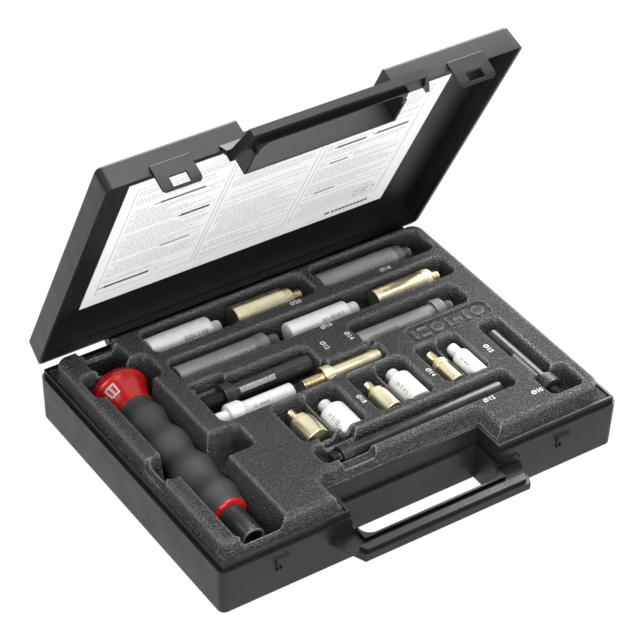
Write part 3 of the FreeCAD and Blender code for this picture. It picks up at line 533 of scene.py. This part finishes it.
def tray():
    """The moulded sheet: a grid of heights, left open at the hand recess and thickened."""
    boxes = [p[:4] for p in POCKETS] + LIPS + [HAND]
    x_walls = [(b[0], 1) for b in boxes] + [(b[1], -1) for b in boxes]
    y_walls = [(b[2], 1) for b in boxes] + [(b[3], -1) for b in boxes]
    x_walls += [(CROWN[0], -1), (CROWN[1], 1), (HAND_SKIRT[0], 1), (HAND_SKIRT[1], -1)]
    y_walls += [(CROWN[2], -1), (CROWN[3], 1), (HAND_SKIRT[3], -1)]
    x_walls += [(r[0], 1) for r in RAISED] + [(r[1], -1) for r in RAISED]
    xs = lines_near(x_walls, SKIRT[0], SKIRT[1])
    ys = lines_near(y_walls, SKIRT[2], SKIRT[3])
    grid_x, grid_y = np.meshgrid(xs, ys, indexing="ij")
    heights = tray_surface(grid_x, grid_y)
    verts = np.stack([grid_x, grid_y, heights], -1).reshape(-1, 3) * MM
    columns = len(ys)
    faces = []
    left, right, _, back = HAND_SKIRT
    for i in range(len(xs) - 1):
        for j in range(columns - 1):
            mid_x, mid_y = (xs[i] + xs[i + 1]) / 2, (ys[j] + ys[j + 1]) / 2
            if left < mid_x < right and mid_y < back:
                continue
            a = i * columns + j
            faces.append((a, a + columns, a + columns + 1, a + 1))
    obj = new_piece("tray_moulding", verts, faces, "case", ["tray_plastic"])
    bm = bmesh.new()
    bm.from_mesh(obj.data)
    bmesh.ops.delete(bm, geom=[v for v in bm.verts if not v.link_faces], context="VERTS")
    bm.to_mesh(obj.data)
    bm.free()
    sheet = obj.modifiers.new("sheet", "SOLIDIFY")
    sheet.thickness = SHEET * MM
    sheet.offset = -1
    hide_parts("tray_insert")
    return obj


# ------------------------------------------------------------------ turned pieces


def lathe(stations, segments):
    """Rings of a turned piece about +X. A station is (x, radius) or (x, radius(angles))."""
    angles = np.arange(segments) * 2 * math.pi / segments
    verts = []
    for x, radius in stations:
        r = radius(angles) if callable(radius) else np.full(segments, radius)
        verts += [(x, a, b) for a, b in zip(r * np.cos(angles), r * np.sin(angles))]
    faces = []
    for ring in range(len(stations) - 1):
        start = ring * segments
        for k in range(segments):
            after = (k + 1) % segments
            faces.append((start + k, start + after, start + segments + after, start + segments + k))
    return verts, faces


def closed(verts, faces, segments):
    """Close a lathe's ends with fans."""
    centre = len(verts)
    start = centre - segments
    verts += [(verts[0][0], 0, 0), (verts[start][0], 0, 0)]
    faces += [(centre, (k + 1) % segments, k) for k in range(segments)]
    faces += [(centre + 1, start + k, start + (k + 1) % segments) for k in range(segments)]
    return verts, faces


def thread_stations(start, end, radius, pitch, depth, taper=1.0):
    """Helical thread ridges between two places along the axis."""
    stations = []
    count = max(8, int((end - start) / pitch * 8))
    for i in range(count + 1):
        x = start + (end - start) * i / count
        ease = min(1.0, (end - x) / taper, (x - start) / (0.4 * taper) + 0.2)

        def ring(angles, x=x, ease=ease):
            phase = (x / pitch - angles / (2 * math.pi)) % 1.0
            tooth = np.abs(2 * phase - 1)
            return radius - depth * ease * tooth - 0.9 * depth * (1 - ease)

        stations.append((x, ring))
    return stations


def knurl_stations(start, end, radius, teeth, depth):
    """Diamond knurling between two places along the axis."""
    stations = []
    count = max(6, int((end - start) / 0.35))
    for i in range(count + 1):
        x = start + (end - start) * i / count
        edge = min(1.0, (x - start) / 0.5, (end - x) / 0.5)

        def ring(angles, x=x, edge=edge):
            twist = x / radius * 1.0
            one = np.abs(np.sin(teeth * (angles + twist) / 2))
            two = np.abs(np.sin(teeth * (angles - twist) / 2))
            return radius - depth * (1 - np.minimum(one, two)) * edge - 0.25 * (1 - edge)

        stations.append((x, ring))
    return stations


def placed(verts, start, turn):
    """Points of a turned piece, in millimetres, laid down with its start at a place."""
    spin = Matrix.Translation(start) @ Matrix.Rotation(math.radians(turn), 4, "Z")
    return [spin @ (Vector(v) * MM) for v in verts]


def laid_start(node, turn):
    """Where a laid piece's plain end is: the end of its node's box, on the box's axis."""
    low, high = (Vector(corner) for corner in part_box(node))
    start = (low + high) / 2
    axis = 0 if turn in (0, 180) else 1
    start[axis] = low[axis] if turn in (0, 90) else high[axis]
    return start


COLLAR_TEETH = 32
KNURL_DEPTH = 0.4
# A thread's depth, as a share of its pitch.
THREAD_DEPTH = 0.62
# Each drift's sizes and turn: (body diameter, body length, collar diameter, collar length,
# thread diameter, thread length, turn about Z, finish).
DRIFTS = {
    "nylon_drift_20_long": (20.0, 47.0, 0, 0, 10.0, 8.1, 0, "nylon"),
    "brass_drift_20_long": (20.0, 38.7, 17.0, 6.0, 10.0, 8.4, 0, "brass"),
    "steel_drift_18_long": (18.0, 61.2, 17.0, 6.0, 10.0, 7.5, 0, "grey_steel"),
    "steel_drift_16_long": (16.0, 61.2, 17.0, 6.3, 10.0, 9.0, 0, "grey_steel"),
    "nylon_drift_16_long": (16.0, 46.8, 0, 0, 10.0, 8.4, 0, "nylon"),
    "brass_drift_16_long": (16.0, 38.7, 17.0, 6.3, 10.0, 7.2, 0, "brass"),
    "steel_drift_12_long": (12.0, 59.4, 17.0, 7.2, 10.0, 15.3, 180, "black_steel"),
    "nylon_drift_12_long": (12.0, 38.0, 16.5, 10.8, 10.0, 8.9, 180, "nylon"),
    "brass_drift_12_long": (12.0, 37.5, 16.4, 6.9, 10.0, 14.8, 180, "brass"),
    "steel_drift_14_long": (14.0, 60.3, 17.6, 6.9, 10.0, 8.1, 0, "grey_steel"),
    "brass_drift_18_short": (18.0, 18.0, 15.0, 4.2, 6.0, 10.6, 90, "brass"),
    "nylon_drift_20_short": (19.6, 23.9, 0, 0, 9.0, 10.4, 90, "nylon"),
    "brass_drift_14_short": (14.0, 17.6, 12.0, 4.0, 6.0, 9.9, 90, "brass"),
    "nylon_drift_18_short": (17.6, 25.2, 0, 0, 9.0, 9.0, 90, "nylon"),
    "brass_drift_10_short": (10.0, 17.6, 11.6, 4.0, 6.0, 11.0, 90, "brass"),
    "nylon_drift_12_short": (12.6, 23.6, 0, 0, 8.0, 10.0, 90, "nylon"),
    "steel_drift_12_extended": (12.0, 117.0, 14.4, 7.5, 10.0, 6.0, 180, "black_steel"),
    "steel_drift_10_long": (10.0, 56.4, 16.0, 9.0, 8.0, 10.5, -90, "black_steel"),
}
SEGMENTS = 128


def rounded_end(radius, ease, at, way, steps=5):
    """Stations that round an end over: way is +1 where the piece starts and -1 where it ends."""
    found = []
    for i in range(steps + 1):
        angle = math.pi / 2 * i / steps
        inset = ease * (1 - math.sin(angle))
        found.append((at + way * inset, radius - ease * (1 - math.cos(angle))))
    return found if way < 0 else found[::-1]


def drift_stations(kind, size):
    """The outline of a drift from its plain end to its threaded one."""
    diameter, length, collar_d, collar_l, thread_d, thread_l = size
    radius, thread = diameter / 2, thread_d / 2
    soft = kind == "nylon"
    ease = 0.8 if soft else 0.7
    stations = rounded_end(radius, ease, 0, 1)
    end = length
    if collar_l:
        collar = collar_d / 2
        end = length + collar_l
        if soft:
            stations += [(length - 3.0, radius)]
            for i in range(1, 9):
                share = i / 8
                swell = (1 - math.cos(math.pi * share)) / 2
                stations.append((length - 3 + 5 * share, radius + (collar - radius) * swell))
            stations += rounded_end(collar, 1.4, end, -1)
        else:
            stations += [(length - 0.3, radius), (length, radius - 0.3)]
            stations += knurl_stations(length + 0.05, end, collar, COLLAR_TEETH, KNURL_DEPTH)
    else:
        stations += rounded_end(radius, 1.6, length, -1)
    tip = end + thread_l
    if soft:
        stations += [(end + 0.02, thread + 0.6), (end + 0.7, thread)]
        stations += rounded_end(thread, 1.6, tip, -1)
    else:
        pitch = 1.5 if thread_d > 7 else 1.0
        stations += [(end + 0.02, thread - 0.7), (end + 1.2, thread - 0.7)]
        stations += thread_stations(end + 1.3, tip, thread, pitch, THREAD_DEPTH * pitch)
    return stations


# Which way round its own axis a laid drift shows its mark, for each turn about Z.
FACING = {0: 135.0, 180: 45.0, 90: 45.0, -90: 135.0}


def etched_marks(size, seed, long):
    """A faint patch with a row of ticks on a drift's flank: (x0, x1, a0, a1, lift, is a tick)."""
    rng = random.Random(seed)
    diameter, length = size[0], size[1]
    marks = []
    start = length * (0.48 if long else 0.2)
    end = length * (0.93 if long else 0.8)
    marks.append((start, end, -0.3, 0.3, 0.012, 0))
    x = start + 1.5
    while x < end - 2.5:
        width = rng.choice((0.5, 0.9, 1.5))
        tall = rng.choice((0.12, 0.17, 0.2))
        marks.append((x, x + width, -tall, tall, 0.03, 1))
        x += width + rng.choice((0.5, 0.7, 1.6))
    return marks


def patch(radius, x0, x1, a0, a1, steps=5, end=None):
    """A thin curved patch on a cylinder, or a cone with an end radius: vertices and faces."""
    verts, faces = [], []
    for sink in (0, 0.08):
        r0, r1 = radius - sink, (end or radius) - sink
        for i in range(steps + 1):
            a = a0 + (a1 - a0) * i / steps
            verts.append((x0, r0 * math.cos(a), r0 * math.sin(a)))
            verts.append((x1, r1 * math.cos(a), r1 * math.sin(a)))
    half = 2 * (steps + 1)
    for i in range(steps):
        a = 2 * i
        faces.append((a, a + 1, a + 3, a + 2))
        faces.append((half + a, half + a + 2, half + a + 3, half + a + 1))
        faces.append((a, a + 2, half + a + 2, half + a))
        faces.append((a + 1, half + a + 1, half + a + 3, a + 3))
    faces.append((0, half, half + 1, 1))
    faces.append((half - 2, half - 1, 2 * half - 1, 2 * half - 2))
    return verts, faces


def add_patch(verts, faces, extra):
    """Join a patch to a mesh that is being built."""
    base = len(verts)
    verts += extra[0]
    faces += [tuple(base + k for k in face) for face in extra[1]]


def drifts():
    """Each drift as one turned piece; the brass ones and the extended one have no mark."""
    for seed, (name, values) in enumerate(DRIFTS.items()):
        kind = name.split("_")[0]
        size, turn, finish = values[:6], values[6], values[7]
        verts, faces = closed(*lathe(drift_stations(kind, size), SEGMENTS), SEGMENTS)
        materials = [finish]
        owner = [0] * len(faces)
        if kind != "brass" and size[1] < 100:
            materials.append("etched_steel" if kind == "steel" else "nylon_mark")
            facing = math.radians(FACING[turn])
            for x0, x1, a0, a1, lift, mark in etched_marks(size, seed, size[1] > 30):
                if kind == "nylon" and not mark:
                    continue
                extra = patch(size[0] / 2 + lift, x0, x1, a0 + facing, a1 + facing)
                add_patch(verts, faces, extra)
                owner += [1] * len(extra[1])
        points = placed(verts, laid_start(name, turn), turn)
        obj = new_piece(name + "_turned", points, faces, name, materials)
        obj.data.polygons.foreach_set("material_index", owner)
        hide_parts(name)
        sharpen(obj, 35)


def sharpen(obj, angle):
    """Smooth faces that break at edges sharper than the angle."""
    mesh = obj.data
    bm = bmesh.new()
    bm.from_mesh(mesh)
    bmesh.ops.recalc_face_normals(bm, faces=bm.faces)
    limit = math.radians(angle)
    for edge in bm.edges:
        if len(edge.link_faces) == 2 and edge.calc_face_angle(0) > limit:
            edge.smooth = False
    bm.to_mesh(mesh)
    bm.free()


# ------------------------------------------------------------------ handle tool


TOOL_SEGMENTS = 96
# The handle tool lies along +Y, so its parts turn by this about Z.
TOOL_TURN = 90


def tool_part(name, node, slot, stations, materials=None):
    """A turned part of the handle tool, placed from the socket's open end."""
    verts, faces = closed(*lathe(stations, TOOL_SEGMENTS), TOOL_SEGMENTS)
    points = placed(verts, laid_start("socket_shaft", TOOL_TURN), TOOL_TURN)
    obj = new_piece(name, points, faces, "handle_tool", materials or [slot])
    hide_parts(node)
    sharpen(obj, 40)
    return obj


# The grip's middle radius, and its waves' depth, one crest's place and their pitch.
GRIP_RADIUS = 13.7
WAVE_DEPTH = 1.45
WAVE_CREST = 128.0
WAVE_PITCH = 29.0


def grip_radius(s):
    """The grip's outline: finger waves that fade towards both ends."""
    wave = WAVE_DEPTH * math.cos(2 * math.pi * (s - WAVE_CREST) / WAVE_PITCH)
    fade = min(1.0, max(0.0, (s - 31.0) / 12.0), max(0.0, (141.0 - s) / 12.0))
    shoulder = 1.4 * max(0.0, (42.0 - s) / 14.0) ** 2
    return GRIP_RADIUS - shoulder + wave * fade


# The socket's mouth is worn bright this far along, and the cap's flank ends at its rim.
WORN_MOUTH = 0.4
CAP_NECK = 140.6
CAP_RIM = 158.6
NECK_RADIUS = 14.2
FLARE = 5.9


def cap_flank(s):
    """The cap's flared flank, from its neck to its rim."""
    return NECK_RADIUS + FLARE * max(0.0, (s - CAP_NECK) / (CAP_RIM - CAP_NECK)) ** 2.0


def handle_tool():
    """The four parts of the handle, as stations of (along the axis, radius)."""
    # black socket, with a threaded mouth
    bore = thread_stations(1.0, 14.5, 5.0, 1.5, 0.9)[::-1]
    inside = [(15.9, 0.5), (15.9, 4.2)] + bore + [(0.9, 5.1), (0.3, 5.9), (0.0, 6.4)]
    outside = [(0.0, 7.7), (0.35, 8.25), (1.0, 8.6), (18.0, 8.6), (25.6, 8.6)]
    outside += [(25.8, 8.3), (26.5, 6.0)]
    socket = tool_part(
        "socket_turned",
        "socket_shaft",
        "black_steel",
        inside + outside,
        materials=["black_steel", "grey_steel"],
    )
    for face in socket.data.polygons:
        along = face.center.y - laid_start("socket_shaft", TOOL_TURN).y
        face.material_index = int(along < WORN_MOUTH * MM)
    # thin red ring
    start, end = 25.8, 27.6
    tool_part(
        "grip_ring_moulding",
        "grip_ring",
        "red_plastic",
        [(start, 8.7), (start, 10.9), (start + 0.2, 11.4), (start + 0.6, 11.8), (start + 1.1, 12.0)]
        + [(end - 0.1, 12.0), (end, 11.9), (end + 0.1, 8.7)],
    )
    # waved grip
    grip = [(27.6, 9.0), (27.6, 11.2), (27.8, 11.8), (28.4, 12.1)]
    grip += [(s, grip_radius(s)) for s in np.arange(29.4, 139.6, 1.5)]
    grip += [(139.9, 13.7), (140.3, 13.4), (140.5, 12.9), (140.5, 9.0)]
    tool_part("grip_sleeve_moulding", "grip_sleeve", "grip_rubber", grip)
    # flared cap
    cap = [(140.3, 9.0), (140.3, 13.9), (CAP_NECK, NECK_RADIUS)]
    cap += [(s, cap_flank(s)) for s in np.linspace(141.4, CAP_RIM, 16)]
    cap += [(CAP_RIM + 0.1, 20.3), (159.0, 20.6), (159.6, 20.7), (160.5, 20.7)]
    cap += [(162.0, 20.5), (163.2, 20.0), (164.2, 19.4)]
    for i in range(1, 12):
        angle = math.pi / 2 * i / 11
        cap.append((164.2 + 6.1 * math.sin(angle), 19.4 * math.cos(angle) + 0.05))
    tool_part("striking_cap_moulding", "striking_cap", "red_plastic", cap)


# ------------------------------------------------------------------ printing and small details

# White size marks on the tray: (text, x, y, turn).
SIZE_MARKS = [
    ("\u00d820", 21.9, 71.7, 0),
    ("\u00d818", 93.9, 70.8, 0),
    ("\u00d816", 25.2, 39.9, 0),
    ("\u00d812", 12.9, 23.7, -90),
    ("\u00d814", 32.1, 23.7, -90),
    ("\u00d812", 71.4, -77.4, 0),
    ("\u00d810", 102.3, -87.4, 0),
    ("\u00d818", 2.4, -34.0, -90),
    ("\u00d814", 55.5, -35.5, -90),
    ("\u00d812", 101.7, -35.5, -90),
]


MARK_LIFT = 0.04


def size_marks():
    """White diameters printed beside the pockets, in the built-in font."""
    verts, faces = [], []
    for text, x, y, turn in SIZE_MARKS:
        curve = bpy.data.curves.new("mark", "FONT")
        curve.body = text
        curve.size = 4.8
        curve.offset = 0.05
        curve.extrude = 0.03
        curve.resolution_u = 3
        curve.align_x, curve.align_y = "CENTER", "CENTER"
        sample = bpy.data.objects.new("mark", curve)
        mesh = bpy.data.meshes.new_from_object(sample)
        spin = Matrix.Rotation(math.radians(turn), 4, "Z")
        place = Matrix.Translation((x, y, TRAY_TOP + MARK_LIFT)) @ spin
        base = len(verts)
        verts += [(place @ v.co) * MM for v in mesh.vertices]
        faces += [tuple(base + k for k in face.vertices) for face in mesh.polygons]
        bpy.data.objects.remove(sample)
        bpy.data.curves.remove(curve)
        bpy.data.meshes.remove(mesh)
    new_piece("size_marks", verts, faces, "case", ["white_paint"], smooth=False)


HINGE = next(j for j in record["behaviour"]["joints"] if j["name"] == "lid_hinge")


def opened(x, y, z):
    """A point of the closed lid, in millimetres, where the open lid has it."""
    angle = math.radians(-HINGE["range_deg"][0])
    _, axis_y, axis_z = HINGE["pos_m"]
    dy, dz = y * MM - axis_y, z * MM - axis_z
    cos, sin = math.cos(angle), math.sin(angle)
    return (x * MM, dy * cos + dz * sin + axis_y, dz * cos - dy * sin + axis_z)


# The card's printed face in the closed lid.
CARD_FACE = 49.4
# The card's columns: (left, right, front, back) in the closed lid's plan.
COLUMNS = [(-110.5, -38.0, -64.5, 69.0), (-35.5, 33.5, -68.0, 70.5), (37.0, 108.0, -68.0, 65.5)]
# Small pictures of tools on the card: (left, right, middle, thickness).
PICTURES = [
    (-110.0, -72.0, 60.3, 2.6),
    (-68.0, -44.6, -7.6, 2.6),
    (-92.0, -55.0, -36.8, 2.2),
    (-74.0, -50.0, 27.0, 1.4),
    (45.0, 69.7, -24.4, 2.4),
    (74.8, 102.4, -25.4, 2.4),
    (47.3, 62.2, -3.9, 1.5),
    (47.1, 64.5, 34.3, 1.5),
]


def printed(name, boxes, material):
    """Ink on the card: flat boxes (x0, x1, y0, y1) on its face."""
    skin = [(*box, CARD_FACE - 0.05, CARD_FACE - 0.01) for box in boxes]
    verts, faces = box_mesh(skin)
    points = [opened(*v) for v in verts]
    new_piece(name, points, faces, "lid", [material], smooth=False)


def frame_lines(left, right, front, back, width):
    return [
        (left, right, front, front + width),
        (left, right, back - width, back),
        (left, left + width, front, back),
        (right - width, right, front, back),
    ]


def near_picture(x, y):
    """Whether print at a place would run into one of the card's pictures."""
    return any(p[0] - 3 < x < p[1] + 2 and abs(p[2] - y) < p[3] + 1.6 for p in PICTURES)


def card_ink():
    """Columns of dashes for the text, plain silhouettes, and a mark in place of a name."""
    rng = random.Random(7)
    lines, words, dark = [], [], []
    for left, right, front, back in COLUMNS:
        lines += frame_lines(left, right, front, back, 0.55)
        y = front + 4.0
        while y < back - 3.5:
            if rng.random() < 0.12:
                y += 3.4
                continue
            end = right - 3.0 - (rng.random() ** 3) * 40
            x = left + 3.0 + (4.0 if rng.random() < 0.25 else 0.0)
            while x < end:
                width = rng.uniform(1.2, 4.2)
                if not near_picture(x, y):
                    words.append((x, min(x + width, end), y, y + 0.75))
                x += width + 0.75
            y += 2.35
    for left, right, middle, thick in PICTURES:
        neck = left + 0.16 * (right - left)
        dark.append((neck, right, middle - thick / 2, middle + thick / 2))
        dark.append((left, neck, middle - thick / 5, middle + thick / 5))
        dark.append((neck - 1.2, neck, middle - 0.7 * thick, middle + 0.7 * thick))
    # the mark, at the card's corner
    dark += [(75.0 + 3.0 * k, 77.2 + 3.0 * k, 73.2, 76.0) for k in range(10)]
    dark += frame_lines(88.0, 103.0, 54.5, 62.0, 0.4)
    printed("card_lines", lines, "ink_grey")
    printed("card_words", words, "ink_grey")
    printed("card_pictures", dark, "ink_black")
    red = [(69.5, 73.5, 73.2, 76.0), (94.0, 97.0, 57.8, 58.8)]
    printed("card_corner_mark", red, "ink_red")


# Bars of the cap's mark: (first angle, last angle, start and end along the axis).
CAP_MARK = [
    (-0.24, 0.24, 149.0, 149.9),
    (-0.24, 0.24, 155.1, 156.0),
    (-0.24, -0.17, 149.9, 155.1),
    (-0.04, 0.03, 149.9, 155.1),
    (0.16, 0.23, 149.9, 155.1),
]


# Its middle round the axis, in radians, and its height over the flank.
CAP_MARK_TURN = 0.95
CAP_MARK_LIFT = 0.06


def cap_mark():
    """A plain box of bars printed on the cap's flank, in place of a name."""
    start = laid_start("socket_shaft", TOOL_TURN)
    verts, faces = [], []
    for a0, a1, x0, x1 in CAP_MARK:
        angles = (a0 + CAP_MARK_TURN, a1 + CAP_MARK_TURN)
        places = np.linspace(x0, x1, 5)
        for low, high in zip(places, places[1:]):
            near, far = (cap_flank(place) + CAP_MARK_LIFT for place in (low, high))
            add_patch(verts, faces, patch(near, low, high, *angles, end=far))
    points = placed(verts, start, TOOL_TURN)
    new_piece("cap_mark", points, faces, "handle_tool", ["white_paint"])


# The base's front face at the catches, the catches' middles, and their ribs' offsets and width.
CASE_FRONT = -110.9
CATCHES = (-106.7, 106.7)
RIB_OFFSETS = (-4.6, -1.8)
RIB_WIDTH = 1.1
# Each rib's steps: (reach, bottom, top). The upper one is low enough for the closed latch.
RIB_STEPS = [(0.66, 19.9, 24.2), (1.3, 18.2, 20.4)]


def catch_ribs():
    """Two short ribs under each catch."""
    boxes = []
    for catch in CATCHES:
        for x in (catch + offset for offset in RIB_OFFSETS):
            for reach, low, high in RIB_STEPS:
                boxes.append((x, x + RIB_WIDTH, CASE_FRONT - reach, CASE_FRONT + 0.4, low, high))
    verts, faces = box_mesh(boxes)
    points = [Vector(v) * MM for v in verts]
    new_piece("catch_ribs", points, faces, "case", ["case_plastic"], smooth=False)


# ------------------------------------------------------------------ floor, light and camera

LENS = 146.208
SENSOR = 36.0
EYE = Vector((-0.745014, -1.060221, 1.106952))
AZIMUTH, ELEVATION, ROLL = 34.813, 38.112, 1.782


def camera():
    """The camera, from where it stands, its heading and the turn of its frame."""
    az, el, roll = (math.radians(v) for v in (AZIMUTH, ELEVATION, ROLL))
    forward = Vector(
        (math.sin(az) * math.cos(el), math.cos(az) * math.cos(el), -math.sin(el))
    )
    level = Vector((math.cos(az), -math.sin(az), 0))
    up = level.cross(forward)
    right = level * math.cos(roll) + up * math.sin(roll)
    top = up * math.cos(roll) - level * math.sin(roll)
    lens = bpy.data.cameras.new("camera")
    lens.lens, lens.sensor_width = LENS, SENSOR
    lens.clip_start, lens.clip_end = 0.05, 20
    obj = bpy.data.objects.new("camera", lens)
    axes = Matrix((right, top, -forward)).transposed().to_4x4()
    obj.matrix_world = Matrix.Translation(EYE) @ axes
    bpy.context.scene.collection.objects.link(obj)
    bpy.context.scene.camera = obj


FLOOR_HALF = 6.0


def area_light(name, place, target, size, power):
    data = bpy.data.lights.new(name, "AREA")
    data.shape = "RECTANGLE"
    data.size, data.size_y = size
    data.energy = power
    obj = bpy.data.objects.new(name, data)
    obj.location = place
    aim = Vector(target) - Vector(place)
    obj.rotation_euler = aim.to_track_quat("-Z", "Y").to_euler()
    bpy.context.scene.collection.objects.link(obj)


def studio():
    """A plain white floor that throws no shadow, a pale world and four soft lights."""
    mesh = bpy.data.meshes.new("floor")
    half = FLOOR_HALF
    mesh.from_pydata(
        [(-half, -half, 0), (half, -half, 0), (half, half, 0), (-half, half, 0)], [], [(0, 1, 2, 3)]
    )
    floor = bpy.data.objects.new("floor", mesh)
    bpy.context.scene.collection.objects.link(floor)
    mat, tree, bsdf = shader("floor", grey(0.0), 1.0)
    bsdf.inputs["Specular IOR Level"].default_value = 0.0
    bsdf.inputs["Emission Color"].default_value = (1, 1, 1, 1)
    bsdf.inputs["Emission Strength"].default_value = 1.0
    mesh.materials.append(mat)
    world = bpy.data.worlds.new("studio")
    bpy.context.scene.world = world
    world.use_nodes = True
    world.node_tree.nodes["Background"].inputs["Color"].default_value = (1, 1, 1, 1)
    world.node_tree.nodes["Background"].inputs["Strength"].default_value = 0.3
    area_light("back_right", (0.85, 1.2, 1.2), (0.02, 0.02, 0.05), (1.8, 1.2), 84)
    area_light("overhead", (0.25, -0.25, 1.9), (0, 0, 0.05), (1.0, 1.0), 28)
    area_light("left", (-1.2, 0.2, 1.3), (0, 0, 0.03), (0.9, 0.9), 4)
    area_light("front", (-0.5, -1.5, 0.55), (0, 0.1, 0.15), (1.4, 0.7), 27)
    bpy.context.scene.view_settings.view_transform = "Standard"


camera()
studio()
shells()
tray()
drifts()
handle_tool()
size_marks()
card_ink()
catch_ribs()
cap_mark()
for node in ("hinge_pin_left", "hinge_pin_right"):
    nodes[node].data.materials.clear()
    nodes[node].data.materials.append(MATERIALS["pin_steel"])
nodes["instruction_card"].data.materials.clear()
nodes["instruction_card"].data.materials.append(MATERIALS["card"])
